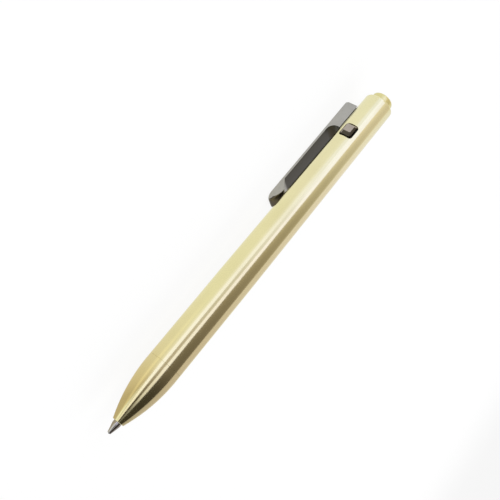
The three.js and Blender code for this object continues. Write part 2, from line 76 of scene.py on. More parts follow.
noise_low = 0.3  # most of a noise texture's values lie between these two
noise_high = 0.7
lathe_radius = 50 * mm  # profiles are swept round a circle of this radius, and drawn that far inside it


def lathe_tree():
    """Geometry nodes that turn a drawn profile (across, along) about the X axis, into a closed mesh."""
    tree = bpy.data.node_groups.new("turning on the lathe", "GeometryNodeTree")
    tree.interface.new_socket("Geometry", in_out="INPUT", socket_type="NodeSocketGeometry")
    tree.interface.new_socket("Sides", in_out="INPUT", socket_type="NodeSocketInt")
    tree.interface.new_socket("Finish", in_out="INPUT", socket_type="NodeSocketMaterial")
    tree.interface.new_socket("Geometry", in_out="OUTPUT", socket_type="NodeSocketGeometry")
    given = tree.nodes.new("NodeGroupInput")
    path = tree.nodes.new("GeometryNodeCurvePrimitiveCircle")
    sweep = tree.nodes.new("GeometryNodeCurveToMesh")
    lay = tree.nodes.new("GeometryNodeTransform")
    weld = tree.nodes.new("GeometryNodeMergeByDistance")
    realize = tree.nodes.new("GeometryNodeRealizeInstances")
    paint = tree.nodes.new("GeometryNodeSetMaterial")
    result = tree.nodes.new("NodeGroupOutput")
    path.inputs["Radius"].default_value = lathe_radius
    lay.inputs["Rotation"].default_value = (0, -math.pi / 2, 0)
    weld.inputs["Distance"].default_value = merge_distance
    link = tree.links.new
    link(given.outputs["Sides"], path.inputs["Resolution"])
    link(path.outputs["Curve"], sweep.inputs["Curve"])
    link(given.outputs["Geometry"], sweep.inputs["Profile Curve"])
    link(sweep.outputs["Mesh"], lay.inputs["Geometry"])
    link(lay.outputs["Geometry"], weld.inputs["Geometry"])
    link(weld.outputs["Geometry"], realize.inputs["Geometry"])
    link(realize.outputs["Geometry"], paint.inputs["Geometry"])
    link(given.outputs["Finish"], paint.inputs["Material"])
    link(paint.outputs["Geometry"], result.inputs["Geometry"])
    return tree


def set_input(modifier, name, value):
    """Sets an input of a modifier's node group, found by its name, through its identifier."""
    sockets = modifier.node_group.interface.items_tree
    identifier = next(item.identifier for item in sockets if item.name == name and item.in_out == "INPUT")
    modifier[identifier] = value


def baked(piece):
    """The piece with its modifiers made into a plain mesh, and the modifiers taken off."""
    name = piece.name
    shape = bpy.data.meshes.new_from_object(piece.evaluated_get(bpy.context.evaluated_depsgraph_get()))
    bpy.data.objects.remove(piece)
    made = bpy.data.objects.new(name, shape)
    shape.name = name
    bpy.context.collection.objects.link(made)
    bpy.context.view_layer.update()
    return made


def tidy_mesh(piece, sharp=30):
    """Merges doubles, turns the faces outwards, and shades smooth up to the sharp edges."""
    work = bmesh.new()
    work.from_mesh(piece.data)
    bmesh.ops.remove_doubles(work, verts=work.verts, dist=merge_distance)
    bmesh.ops.dissolve_degenerate(work, edges=work.edges, dist=sliver)
    bmesh.ops.recalc_face_normals(work, faces=work.faces)
    for face in work.faces:
        face.smooth = True
    for edge in work.edges:
        edge.smooth = len(edge.link_faces) == 2 and edge.calc_face_angle(0) < math.radians(sharp)
    work.to_mesh(piece.data)
    work.free()
    return piece


def settled(piece):
    """The finished piece, with the shading of its large faces kept true up to their rounded edges."""
    normals = piece.modifiers.new("normals", "WEIGHTED_NORMAL")
    normals.keep_sharp = True
    bpy.context.view_layer.update()
    return baked(piece)


def turned(name, profile, finish, sides=160):
    """A piece turned to a closed profile, a list of (x, radius), about the pen's axis."""
    drawing = bpy.data.curves.new(name, "CURVE")
    drawing.dimensions = "3D"
    line = drawing.splines.new("POLY")
    line.points.add(len(profile) - 1)
    for point, (x, radius) in zip(line.points, profile):
        point.co = (radius - lathe_radius, x, 0, 1)
    line.use_cyclic_u = True
    piece = bpy.data.objects.new(name, drawing)
    bpy.context.collection.objects.link(piece)
    lathe = piece.modifiers.new("lathe", "NODES")
    lathe.node_group = turning
    set_input(lathe, "Sides", sides)
    set_input(lathe, "Finish", finish)
    piece = baked(piece)
    piece.data.transform(Matrix.Translation(axis))
    return tidy_mesh(piece)


turning = lathe_tree()


def arc_points(x, y, radius, start, end, steps):
    """Points along an arc about (x, y), between two angles in degrees."""
    angles = [math.radians(start + (end - start) * step / steps) for step in range(steps + 1)]
    return [(x + radius * math.cos(angle), y + radius * math.sin(angle)) for angle in angles]


def round_corners(length, width, corner, steps=8):
    """The outline of a rectangle with rounded corners, as (x, across)."""
    points = []
    for end, side, start in ((1, 1, 0), (-1, 1, 90), (-1, -1, 180), (1, -1, 270)):
        middle = (end * (length / 2 - corner), side * (width / 2 - corner))
        points += arc_points(*middle, corner, start, start + 90, steps)
    return points


def joined_rows(name, rows, place, finish=None):
    """A closed form over rows of points, each joined to the next. Place sets it in the pen."""
    work = bmesh.new()
    loops = [[work.verts.new(point) for point in row] for row in rows]
    for near, far in zip(loops, loops[1:]):
        for i in range(len(near)):
            j = (i + 1) % len(near)
            work.faces.new((near[i], near[j], far[j], far[i]))
    work.faces.new(reversed(loops[0]))
    work.faces.new(loops[-1])
    bmesh.ops.recalc_face_normals(work, faces=work.faces)
    shape = bpy.data.meshes.new(name)
    work.to_mesh(shape)
    work.free()
    shape.transform(place)
    piece = bpy.data.objects.new(name, shape)
    bpy.context.collection.objects.link(piece)
    if finish:
        shape.materials.append(finish)
    return piece


def prism(name, outline, low, high, place, finish=None):
    """An upright form over an outline, as (x, y), between two heights."""
    return joined_rows(name, [[(x, y, z) for x, y in outline] for z in (low, high)], place, finish)


def combined(piece, tools, operation="DIFFERENCE"):
    """The piece after each tool has been cut from it, or joined to it."""
    for tool in tools:
        step = piece.modifiers.new(tool.name, "BOOLEAN")
        step.object = tool
        step.operation = operation
        step.solver = "EXACT"
    bpy.context.view_layer.update()
    piece = baked(piece)
    for tool in tools:
        bpy.data.objects.remove(tool)
    return tidy_mesh(piece)


def broken_edges(piece, width, steps=2, angle=35):
    """The piece with its sharp edges rounded off, as a file or tumbling leaves them."""
    edge = piece.modifiers.new("edge", "BEVEL")
    edge.width = width
    edge.segments = steps
    edge.limit_method = "ANGLE"
    edge.angle_limit = math.radians(angle)
    edge.use_clamp_overlap = True
    bpy.context.view_layer.update()
    return settled(tidy_mesh(baked(piece), sharp=40))


def to_button(x):
    """From a drawing seen from the button's side, (x, across, outwards), to the pen as it lies."""
    turn = Matrix(((1, 0, 0, 0), (0, 0, 1, 0), (0, -1, 0, 0), (0, 0, 0, 1)))
    return Matrix.Translation(axis + Vector((x, 0, 0))) @ turn


def to_clip(x):
    """From a drawing seen from the clip's side, (x, across, outwards), to the pen as it lies."""
    turn = Matrix(((1, 0, 0, 0), (0, -1, 0, 0), (0, 0, -1, 0), (0, 0, 0, 1)))
    return Matrix.Translation(axis + Vector((x, 0, 0))) @ turn


def holes(name, radius, sides, low, high):
    """A round cutter at each screw's place, seen from the clip's side."""
    outline = arc_points(0, 0, radius, 0, 360, sides)[:-1]
    return [prism(f"{name}_{i}", outline, low, high, to_clip(x)) for i, x in enumerate(screw_places)]


def start_material(name):
    material = bpy.data.materials.new(name)
    material.use_nodes = True
    tree = material.node_tree
    return material, tree, tree.nodes["Principled BSDF"]


def noise(tree, place, scale, detail=3.0, dimensions="3D"):
    """A noise texture on object coordinates, or on the distance along the pen where dimensions is 1D."""
    texture = tree.nodes.new("ShaderNodeTexNoise")
    texture.noise_dimensions = dimensions
    texture.inputs["Scale"].default_value = scale
    texture.inputs["Detail"].default_value = detail
    tree.links.new(place, texture.inputs["W" if dimensions == "1D" else "Vector"])
    return texture.outputs["Fac"]


def ramp(tree, value, stops):
    """A colour ramp over a value: stops are (position, colour)."""
    colours = tree.nodes.new("ShaderNodeValToRGB")
    while len(colours.color_ramp.elements) < len(stops):
        colours.color_ramp.elements.new(0.5)
    for element, (position, colour) in zip(colours.color_ramp.elements, stops):
        element.position = position
        element.color = (*colour, 1)
    tree.links.new(value, colours.inputs["Fac"])
    return colours.outputs["Color"]


def spread(tree, value, low, high):
    """A noise's value, mapped to run from low to high."""
    mapped = tree.nodes.new("ShaderNodeMapRange")
    mapped.inputs["From Min"].default_value = noise_low
    mapped.inputs["From Max"].default_value = noise_high
    mapped.inputs["To Min"].default_value = low
    mapped.inputs["To Max"].default_value = high
    tree.links.new(value, mapped.inputs["Value"])
    return mapped.outputs["Result"]


def bumped(tree, shader, height, depth, strength):
    bump = tree.nodes.new("ShaderNodeBump")
    bump.inputs["Distance"].default_value = depth
    bump.inputs["Strength"].default_value = strength
    tree.links.new(height, bump.inputs["Height"])
    tree.links.new(bump.outputs["Normal"], shader.inputs["Normal"])


def turned_metal(name, tone, shade, gloss, line_width, line_strength):
    """Metal from the lathe: fine rings round the axis, and a tone that drifts along and round it."""
    material, tree, shader = start_material(name)
    place = tree.nodes.new("ShaderNodeTexCoord").outputs["Object"]
    split = tree.nodes.new("ShaderNodeSeparateXYZ")
    tree.links.new(place, split.inputs["Vector"])
    rings = noise(tree, split.outputs["X"], scale=1 / line_width, detail=4.0, dimensions="1D")
    drift = noise(tree, place, scale=90.0, detail=2.0)
    tree.links.new(ramp(tree, drift, ((noise_low, shade), (noise_high, tone))), shader.inputs["Base Color"])
    tree.links.new(spread(tree, rings, gloss * 0.8, gloss * 1.25), shader.inputs["Roughness"])
    bumped(tree, shader, rings, depth=0.004 * mm, strength=line_strength)
    around = tree.nodes.new("ShaderNodeTangent")
    around.direction_type = "RADIAL"
    around.axis = "X"
    tree.links.new(around.outputs["Tangent"], shader.inputs["Tangent"])
    shader.inputs["Metallic"].default_value = 1.0
    shader.inputs["Anisotropic"].default_value = 0.6
    shader.inputs["Anisotropic Rotation"].default_value = 0.25
    return material


brass = turned_metal(
    "turned brass", tone=(0.875, 0.81, 0.47), shade=(0.835, 0.77, 0.435),
    gloss=0.17, line_width=0.12 * mm, line_strength=0.2,
)
barrel = turned("barrel_tube", [
    (barrel_front, barrel_radius - seam_edge),
    (barrel_front + seam_edge, barrel_radius),
    (barrel_front + barrel_straight, barrel_radius),
    *arc_points(barrel_end - barrel_round, barrel_back_radius - barrel_round, barrel_round, 90, 0, steps=8),
    (barrel_end, barrel_bore),
    (barrel_front + seal_seat_depth, barrel_bore),
    (barrel_front + seal_seat_depth, seal_seat_radius),
    (barrel_front, seal_seat_radius),
], brass, sides=192)
window_outline = round_corners(window_length, window_width, window_corner)
window = prism("window", window_outline, cut_floor, cut_top, to_button(window_x))
screw_holes = holes("screw_hole", screw_hole_radius, 24, cut_floor, cut_top)
barrel = broken_edges(combined(barrel, [window, *screw_holes]), barrel_edge)
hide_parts("barrel")
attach(barrel, "body")

# Nose: turned from the same brass, an arc from a small flat mouth to the barrel's full thickness. A thread
# and an O-ring behind its shoulder hold it in the barrel, and the refill's point comes out of its mouth.
nose_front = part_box("nose_cone")[0].x
nose_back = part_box("nose_cone")[1].x
nose_length = 20.7 * mm
arc_length = 19.35 * mm
mouth_radius = 1.86 * mm
mouth_hole = 1.45 * mm
mouth_round = 0.09 * mm
spring_chamber = 2.35 * mm
nose_bore = 3.15 * mm
spigot_radius = 3.7 * mm
guide_length = 3.8 * mm
chamber_end = 10.45 * mm
arc_steps = 48

drop = barrel_radius - mouth_radius
arc_radius = (arc_length ** 2 + drop ** 2) / (2 * drop)
arc = []
for step in range(arc_steps + 1):
    ahead = arc_length * (1 - step / arc_steps)
    height = math.sqrt(arc_radius ** 2 - ahead ** 2) - arc_radius
    arc.append((nose_front + arc_length - ahead, barrel_radius + height))
seam = nose_front + nose_length + seam_reach
# the mouth's small round takes the place of the arc's first two points
nose = turned("nose", [
    (nose_front, mouth_radius - mouth_round),
    (nose_front + mouth_round / 3, mouth_radius - mouth_round / 3),
    (nose_front + mouth_round, mouth_radius + mouth_round / 2),
    *arc[2:],
    (seam - seam_edge, barrel_radius),
    (seam, barrel_radius - seam_edge),
    (seam, spigot_radius),
    (nose_back, spigot_radius),
    (nose_back, nose_bore),
    (nose_front + chamber_end, nose_bore),
    (nose_front + chamber_end, spring_chamber),
    (nose_front + guide_length, spring_chamber),
    (nose_front + guide_length, mouth_hole),
    (nose_front, mouth_hole),
], brass)
nose = settled(nose)
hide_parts("nose_cone")
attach(nose, "body")

# Knob: a short brass button in the barrel's end, with a rounded rim and a slightly crowned face. It is
# screwed on the rod, and goes in with it.
knob_front = knob_low.x
knob_reach = 0.3 * mm  # past the end of the CAD's knob
knob_back = knob_high.x + knob_reach
knob_radius = 3.62 * mm
knob_round = 1.0 * mm
knob_crown = 0.4 * mm
knob_thread = 1.15 * mm
knob_thread_depth = 4.6 * mm
knob_inner_edge = 0.1 * mm
crown_steps = 6
# the knob's brass is a darker, more saturated copy of the barrel's, a painted shade for the darker
# surroundings its rim and crown mirror
knob_brass = turned_metal(
    "turned knob brass", tone=(0.81, 0.725, 0.34), shade=(0.755, 0.675, 0.305),
    gloss=0.22, line_width=0.12 * mm, line_strength=0.2,
)
crown = []
for step in range(1, crown_steps + 1):
    outwards = 1 - step / crown_steps
    crown.append((knob_back - knob_crown * outwards ** 2, (knob_radius - knob_round) * outwards))
knob = turned("knob", [
    (knob_front + knob_thread_depth, 0),
    (knob_front + knob_thread_depth, knob_thread),
    (knob_front, knob_thread),
    (knob_front, knob_radius - knob_inner_edge),
    (knob_front + knob_inner_edge, knob_radius),
    *arc_points(knob_back - knob_crown - knob_round, knob_radius - knob_round, knob_round, 90, 0, steps=8),
    *crown,
], knob_brass, sides=128)
knob = settled(knob)
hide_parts("push_knob")
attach(knob, "plunger")

# Writing point: the refill's own point, turned from steel, a cylinder that slides in the nose and a cone that
# holds the carbide ball. Both stand out of the nose while the point is out.
tip_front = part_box("refill_point")[0].x
tip_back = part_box("refill_point")[1].x
ball_low, ball_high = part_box("writing_ball")
ball_radius = (ball_high.x - ball_low.x) / 2
ball_x = ball_low.x + ball_radius
ball_seat_radius = 0.48 * mm
ball_seat_angles = (39, 60, 80, 100, 114.6)
tip_radius = 1.3 * mm
cone_end = ball_low.x + 3.2 * mm
cone_softening = 0.1 * mm
cone_drop = 0.03 * mm
head_end = ball_low.x + 11 * mm
stem_radius = 1.15 * mm
duct_radius = 0.3 * mm
lip_radius = 0.54 * mm
steel = turned_metal(
    "turned steel", tone=(0.57, 0.565, 0.535), shade=(0.51, 0.505, 0.48),
    gloss=0.14, line_width=0.15 * mm, line_strength=0.2,
)
carbide = turned_metal(
    "carbide", tone=(0.16, 0.155, 0.15), shade=(0.10, 0.10, 0.10),
    gloss=0.2, line_width=0.05 * mm, line_strength=0.1,
)
ball_seat = [
    (ball_x + ball_seat_radius * math.cos(angle), ball_seat_radius * math.sin(angle))
    for angle in map(math.radians, ball_seat_angles)
]
tip = turned("writing_point", [
    *ball_seat,
    (tip_front, lip_radius),
    (cone_end - cone_softening, tip_radius - cone_drop),
    (cone_end + cone_softening, tip_radius),
    (head_end, tip_radius),
    (head_end, stem_radius),
    (tip_back, stem_radius),
    (tip_back, duct_radius),
], steel, sides=96)
tip = settled(tip)
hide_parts("refill_point")
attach(tip, "plunger")

ball = turned("ball", arc_points(ball_x, 0, ball_radius, 180, 0, steps=18), carbide, sides=36)
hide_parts("writing_ball")
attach(ball, "plunger")

# Clip: milled from a titanium bar and bead-blasted. Its block is fitted to the barrel, a thin flat arm leaves
# it with a fillet, and a bump near the free end grips the pocket. All its edges are lightly broken.
clip_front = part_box("clip")[0].x
clip_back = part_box("clip")[1].x
clip_width = 5.6 * mm
clip_outer = axis.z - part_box("clip")[0].z
arm_inner = 7.88 * mm
block_foot = 3.75 * mm
block_front = clip_back - 9.8 * mm
block_round = 1.0 * mm
fillet = 2.6 * mm
bump_x = clip_front + 4.55 * mm
bump_radius = 5.53 * mm
bump_ahead = 0.2 * mm
bump_behind = 0.45 * mm
bump_softening = 0.5 * mm
bump_drop = 0.12 * mm
ramp_length = 4.2 * mm
clip_end = bump_x - 3.4 * mm
end_bow = 1.15 * mm  # how far the middle of the free end stands out past its corners
bow_reach = 3.0 * mm  # how far behind the end the bow fades out
bow_power = 8
bow_steps = 16
# the lead-in, from the outer face to the bump, in mm: behind the clip's end, and in from its outer face
lead_in = (
    (1.35, 0.0), (0.6, 0.12), (0.2, 0.42), (0.0, 0.9), (0.05, 1.2),
    (0.27, 1.55), (0.75, 2.05), (1.7, 2.6), (2.75, 2.95),
)
seat_front_radius = 5.31 * mm
seat_back_radius = 5.24 * mm
seat_front = block_front - 3 * mm
seat_back = clip_back + 1 * mm
clip_edge = 0.07 * mm
# up to here the clip's painted shade is lighter
lighter_shade_end = bump_x + 3 * mm
end_blend = 1.0 * mm
screw_head_radius = 1.4 * mm
screw_head_height = 0.8 * mm
screw_recess = 0.15 * mm
head_play = 0.15 * mm
head_clearance = 0.1 * mm
clip_cut_top = 12 * mm


def blasted_metal(name, tone, shade, gloss, grain, painted_shade_side, painted_shade_tone, end_shade_tone=None, end_x=0):
    """Bead-blasted metal: a fine even grain of small dents, and a tone that drifts a little. Faces turned
    towards one given side have a darker given tone, a painted shade for faces that lie in shade. Where a
    lighter tone is given, that painted shade is lighter up to end_x."""
    material, tree, shader = start_material(name)
    place = tree.nodes.new("ShaderNodeTexCoord").outputs["Object"]
    dents = noise(tree, place, scale=1 / grain, detail=2.0)
    drift = noise(tree, place, scale=160.0, detail=4.0)
    # painted shade: faces turned towards the given side take a darker tone in place of the metal's own
    facing = tree.nodes.new("ShaderNodeVectorMath")
    facing.operation = "DOT_PRODUCT"
    facing.inputs[1].default_value = painted_shade_side
    tree.links.new(tree.nodes.new("ShaderNodeNewGeometry").outputs["Normal"], facing.inputs[0])
    reach = tree.nodes.new("ShaderNodeMapRange")
    reach.interpolation_type = "SMOOTHSTEP"
    reach.inputs["From Min"].default_value = 0.3
    reach.inputs["From Max"].default_value = 0.6
    tree.links.new(facing.outputs["Value"], reach.inputs["Value"])
    mix = tree.nodes.new("ShaderNodeMix")
    mix.data_type = "RGBA"
    tree.links.new(reach.outputs["Result"], mix.inputs["Factor"])
    tree.links.new(ramp(tree, drift, ((noise_low, shade), (noise_high, tone))), mix.inputs["A"])
    mix.inputs["B"].default_value = (*painted_shade_tone, 1)
    if end_shade_tone:
        split = tree.nodes.new("ShaderNodeSeparateXYZ")
        tree.links.new(place, split.inputs["Vector"])
        along = tree.nodes.new("ShaderNodeMapRange")
        along.inputs["From Min"].default_value = end_x - end_blend
        along.inputs["From Max"].default_value = end_x + end_blend
        tree.links.new(split.outputs["X"], along.inputs["Value"])
        painted_shade = ramp(tree, along.outputs["Result"], ((0.0, end_shade_tone), (1.0, painted_shade_tone)))
        tree.links.new(painted_shade, mix.inputs["B"])
    tree.links.new(mix.outputs["Result"], shader.inputs["Base Color"])
    tree.links.new(spread(tree, dents, gloss * 0.85, gloss * 1.15), shader.inputs["Roughness"])
    bumped(tree, shader, dents, depth=0.02 * mm, strength=0.4)
    shader.inputs["Metallic"].default_value = 1.0
    return material


# the clip's faces turned towards the barrel, the arm's inner face and its fillet, get a painted shade,
# lighter towards the free end
clip_titanium = blasted_metal(
    "blasted titanium", tone=(0.47, 0.455, 0.4), shade=(0.42, 0.405, 0.36), gloss=0.42, grain=0.12 * mm,
    painted_shade_side=(-0.75, 0, 0.66), painted_shade_tone=(0.08, 0.076, 0.055),
    end_shade_tone=(0.165, 0.147, 0.12), end_x=lighter_shade_end,
)


def clip_side(across):
    """The clip's outline from the side, (x, outwards), at a place across its width. The free end is bowed."""
    points = arc_points(clip_back - block_round, clip_outer - block_round, block_round, 90, 0, steps=8)
    points += [(clip_back, block_foot), (block_front, block_foot)]
    points += arc_points(block_front - fillet, arm_inner - fillet, fillet, 0, 90, steps=12)
    points += [
        (bump_x + ramp_length, arm_inner),
        (bump_x + bump_behind + bump_softening, bump_radius + bump_drop),
        (bump_x + bump_behind, bump_radius),
        (bump_x - bump_ahead, bump_radius),
    ]
    bow = end_bow * (1 - abs(2 * across / clip_width) ** bow_power)
    for behind, inwards in reversed(lead_in):
        bow_here = bow * (1 - behind * mm / bow_reach)
        points.append((clip_end + behind * mm - bow_here, clip_outer - inwards * mm))
    return points


clip_rows = []
for step in range(bow_steps + 1):
    across = clip_width * (step / bow_steps - 0.5)
    clip_rows.append([(x, across, outwards) for x, outwards in clip_side(across)])
clip = tidy_mesh(joined_rows("pocket_clip", clip_rows, to_clip(0), clip_titanium))
seat = turned("clip_seat", [
    (seat_front, 0),
    (seat_front, seat_front_radius),
    (seat_back, seat_back_radius),
    (seat_back, 0),
], clip_titanium)
head_floor = clip_outer - screw_recess - screw_head_height - head_clearance
head_holes = holes("head_hole", screw_head_radius + head_play, 48, head_floor, clip_cut_top)
shank_holes = holes("shank_hole", screw_hole_radius, 24, 0, clip_cut_top)
clip = broken_edges(combined(clip, [seat, *head_holes, *shank_holes]), clip_edge, steps=3)
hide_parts("clip")
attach(clip, "body")

# Clip screws: two turned steel screws with cylinder heads and a hexagon socket, sunk in the clip's block.
# They go through the barrel's wall and into the catch sleeve.
screw_radius = 0.8 * mm
screw_foot = 2.35 * mm
socket_radius = 0.65 * mm
socket_depth = 0.45 * mm
socket_overrun = 1 * mm
head_edge = 0.12 * mm


def screw_tree():
    """Geometry nodes that set a screw, made from a shank, a head and a socket, at each point."""
    tree = bpy.data.node_groups.new("clip screws", "GeometryNodeTree")
    sizes = (
        ("Head Radius", screw_head_radius), ("Head Height", screw_head_height),
        ("Head Top", clip_outer - screw_recess), ("Shank Radius", screw_radius), ("Shank Foot", screw_foot),
        ("Socket Radius", socket_radius), ("Socket Depth", socket_depth), ("Edge", head_edge),
    )
    tree.interface.new_socket("Geometry", in_out="INPUT", socket_type="NodeSocketGeometry")
    for name, _ in sizes:
        tree.interface.new_socket(name, in_out="INPUT", socket_type="NodeSocketFloat")
    tree.interface.new_socket("Finish", in_out="INPUT", socket_type="NodeSocketMaterial")
    tree.interface.new_socket("Geometry", in_out="OUTPUT", socket_type="NodeSocketGeometry")
    given = tree.nodes.new("NodeGroupInput")
    link = tree.links.new

    def reckon(operation, a, b):
        sum_node = tree.nodes.new("ShaderNodeMath")
        sum_node.operation = operation
        for socket_in, value in zip(sum_node.inputs, (a, b)):
            if isinstance(value, (int, float)):
                socket_in.default_value = value
            else:
                link(value, socket_in)
        return sum_node.outputs["Value"]

    def cylinder(sides, radius, low, high):
        """A cylinder that stands along Z from one height to another."""
        drum = tree.nodes.new("GeometryNodeMeshCylinder")
        drum.inputs["Vertices"].default_value = sides
        link(radius, drum.inputs["Radius"])
        link(reckon("SUBTRACT", high, low), drum.inputs["Depth"])
        raised = tree.nodes.new("ShaderNodeCombineXYZ")
        link(reckon("MULTIPLY", reckon("ADD", high, low), 0.5), raised.inputs["Z"])
        moved = tree.nodes.new("GeometryNodeTransform")
        link(drum.outputs["Mesh"], moved.inputs["Geometry"])
        link(raised.outputs["Vector"], moved.inputs["Translation"])
        return moved.outputs["Geometry"]

    def boolean(operation, first, *others):
        mix = tree.nodes.new("GeometryNodeMeshBoolean")
        mix.operation = operation
        mix.solver = "EXACT"
        if operation == "DIFFERENCE":
            link(first, mix.inputs["Mesh 1"])
        for other in others if operation == "DIFFERENCE" else (first, *others):
            link(other, mix.inputs["Mesh 2"])
        return mix.outputs["Mesh"]

    size = given.outputs
    top = size["Head Top"]
    neck = reckon("SUBTRACT", top, size["Head Height"])
    rounding = reckon("SUBTRACT", top, size["Edge"])
    head = cylinder(48, size["Head Radius"], neck, rounding)
    cap = cylinder(48, reckon("SUBTRACT", size["Head Radius"], size["Edge"]), neck, top)
    shank = cylinder(32, size["Shank Radius"], size["Shank Foot"], rounding)
    socket_floor = reckon("SUBTRACT", top, size["Socket Depth"])
    hexagon = cylinder(6, size["Socket Radius"], socket_floor, reckon("ADD", top, socket_overrun))
    screw = boolean("DIFFERENCE", boolean("UNION", head, cap, shank), hexagon)
    points = tree.nodes.new("GeometryNodeInstanceOnPoints")
    realize = tree.nodes.new("GeometryNodeRealizeInstances")
    paint = tree.nodes.new("GeometryNodeSetMaterial")
    result = tree.nodes.new("NodeGroupOutput")
    link(given.outputs["Geometry"], points.inputs["Points"])
    link(screw, points.inputs["Instance"])
    link(points.outputs["Instances"], realize.inputs["Geometry"])
    link(realize.outputs["Geometry"], paint.inputs["Geometry"])
    link(given.outputs["Finish"], paint.inputs["Material"])
    link(paint.outputs["Geometry"], result.inputs["Geometry"])
    return tree, sizes


places = bpy.data.meshes.new("screw_places")
places.from_pydata([(x, 0, 0) for x in screw_places], [], [])
screws = bpy.data.objects.new("clip_screws", places)
bpy.context.collection.objects.link(screws)
setting = screws.modifiers.new("screws", "NODES")
setting.node_group, screw_sizes = screw_tree()
for name, value in screw_sizes:
    set_input(setting, name, value)
set_input(setting, "Finish", steel)
screws = baked(screws)
screws.data.transform(to_clip(0))
tidy_mesh(screws)
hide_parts("clip_screw_front", "clip_screw_rear")
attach(screws, "body")

# Side button: titanium, milled with four bevels round a flat top, and blasted like the clip. It stands in the
# barrel's window with a dark gap round it, and ears under the barrel's wall keep it in.
button_low, button_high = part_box("side_button")
button_x = (button_low.x + button_high.x) / 2
button_length = 4.5 * mm
button_width = 3.75 * mm
button_corner = 0.5 * mm
button_short = 0.2 * mm
button_top_length = 2.6 * mm
button_top_width = 2.8 * mm
button_top_offset = 0.08 * mm
button_top_corner = 0.35 * mm
button_bevel = 0.8 * mm
button_edge = 0.07 * mm
button_top = button_high.y - axis.y
button_floor = button_low.y - axis.y
ear_width = 2.8 * mm
ear_corner = 0.35 * mm
ear_thickness = 0.45 * mm
# the button's faces turned towards the nose, its front bevel most, get a painted shade
button_titanium = blasted_metal(
    "blasted button titanium", tone=(0.48, 0.42, 0.345), shade=(0.43, 0.375, 0.305),
    gloss=0.4, grain=0.1 * mm, painted_shade_side=(-0.78, 0.15, 0.62), painted_shade_tone=(0.09, 0.08, 0.058),
)

foot = round_corners(button_length - button_short, button_width, button_corner, steps=6)
foot = [(x - button_short / 2, y) for x, y in foot]
flat = round_corners(button_top_length, button_top_width, button_top_corner, steps=6)
flat = [(x + button_top_offset, y) for x, y in flat]
button_rows = [
    [(x, y, button_floor + ear_thickness / 2) for x, y in foot],
    [(x, y, button_top - button_bevel) for x, y in foot],
    [(x, y, button_top) for x, y in flat],
]
button = tidy_mesh(joined_rows("release_button", button_rows, to_button(button_x), button_titanium))
ear_outline = round_corners(button_high.x - button_low.x, ear_width, ear_corner)
ear_top = button_floor + ear_thickness
ears = prism("ears", ear_outline, button_floor, ear_top, to_button(button_x), button_titanium)
button = broken_edges(combined(button, [ears], "UNION"), button_edge, steps=3, angle=20)
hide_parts("side_button")
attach(button, "button")

# Pieces inside the pen, shown as the CAD has them: sleeve, rod, cup and refill from turned steel, springs and
# catch from rolled strip and wire, a rubber ring behind the nose, a moulded plug, and the ink.
inner_steel = turned_metal(
    "inner steel", tone=(0.54, 0.54, 0.53), shade=(0.47, 0.47, 0.46),
    gloss=0.25, line_width=0.2 * mm, line_strength=0.3,
)
spring_steel = turned_metal(
    "spring steel", tone=(0.48, 0.48, 0.49), shade=(0.40, 0.40, 0.41),
    gloss=0.3, line_width=0.1 * mm, line_strength=0.2,
)


def moulded(name, tone, shade, gloss, grain):
    """Rubber, plastic or ink: a dark tone with a slight grain."""
    material, tree, shader = start_material(name)
    place = tree.nodes.new("ShaderNodeTexCoord").outputs["Object"]
    specks = noise(tree, place, scale=1 / grain)
    tree.links.new(ramp(tree, specks, ((0.35, shade), (0.65, tone))), shader.inputs["Base Color"])
    tree.links.new(spread(tree, specks, gloss * 0.85, gloss * 1.15), shader.inputs["Roughness"])
    bumped(tree, shader, specks, depth=0.01 * mm, strength=0.2)
    return material


rubber = moulded(
    "seal rubber", tone=(0.022, 0.022, 0.022), shade=(0.014, 0.014, 0.014), gloss=0.75, grain=0.2 * mm,
)
plastic = moulded(
    "plug plastic", tone=(0.035, 0.035, 0.04), shade=(0.025, 0.025, 0.03), gloss=0.45, grain=0.3 * mm,
)
ink = moulded(
    "black ink", tone=(0.012, 0.014, 0.022), shade=(0.008, 0.01, 0.016), gloss=0.15, grain=1.0 * mm,
)
inside = {
    "catch_sleeve": inner_steel, "plunger_rod": inner_steel,
    "refill_cup": inner_steel, "catch_rivet": inner_steel,
    "return_spring": spring_steel, "button_spring": spring_steel, "catch_leaf": spring_steel,
    "refill_tube": steel, "refill_plug": plastic, "nose_seal": rubber, "ink_column": ink,
}
for node, finish in inside.items():
    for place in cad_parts[node].material_slots:
        place.material = finish

# Studio: a pale floor under the pen, white all round, and two soft lamps. Cards of white to dark grey stand
# lengthwise round the pen, one above the other, for the metal to reflect, and no other ray sees them.
brightest = 1.8  # a ramp's colours end at 1, so levels are divided by this and the glow is multiplied by it
rays_to_sight = ("Is Camera Ray", "Is Glossy Ray", "Is Transmission Ray")
floor_reach = 4
floor_tone = 0.8
floor_glow = 0.85  # the share of the floor that shines white by itself, but for the contact with the clip
# how dark the floor's colour is painted in the contact shadow under the clip
painted_shadow_level = 0.1
sky_light = 0.6
sky_seen = 1.0
card_distance = 0.3
card_ends = (-0.6, 0.9)


def grey(level):
    return (level,) * 3


def seen(tree, kinds):
    """1 for a ray of one of these kinds, and 0 for the rest."""
    ray = tree.nodes.new("ShaderNodeLightPath")
    either = ray.outputs[kinds[0]]
    for kind in kinds[1:]:
        larger = tree.nodes.new("ShaderNodeMath")
        larger.operation = "MAXIMUM"
        tree.links.new(either, larger.inputs[0])
        tree.links.new(ray.outputs[kind], larger.inputs[1])
        either = larger.outputs["Value"]
    return either


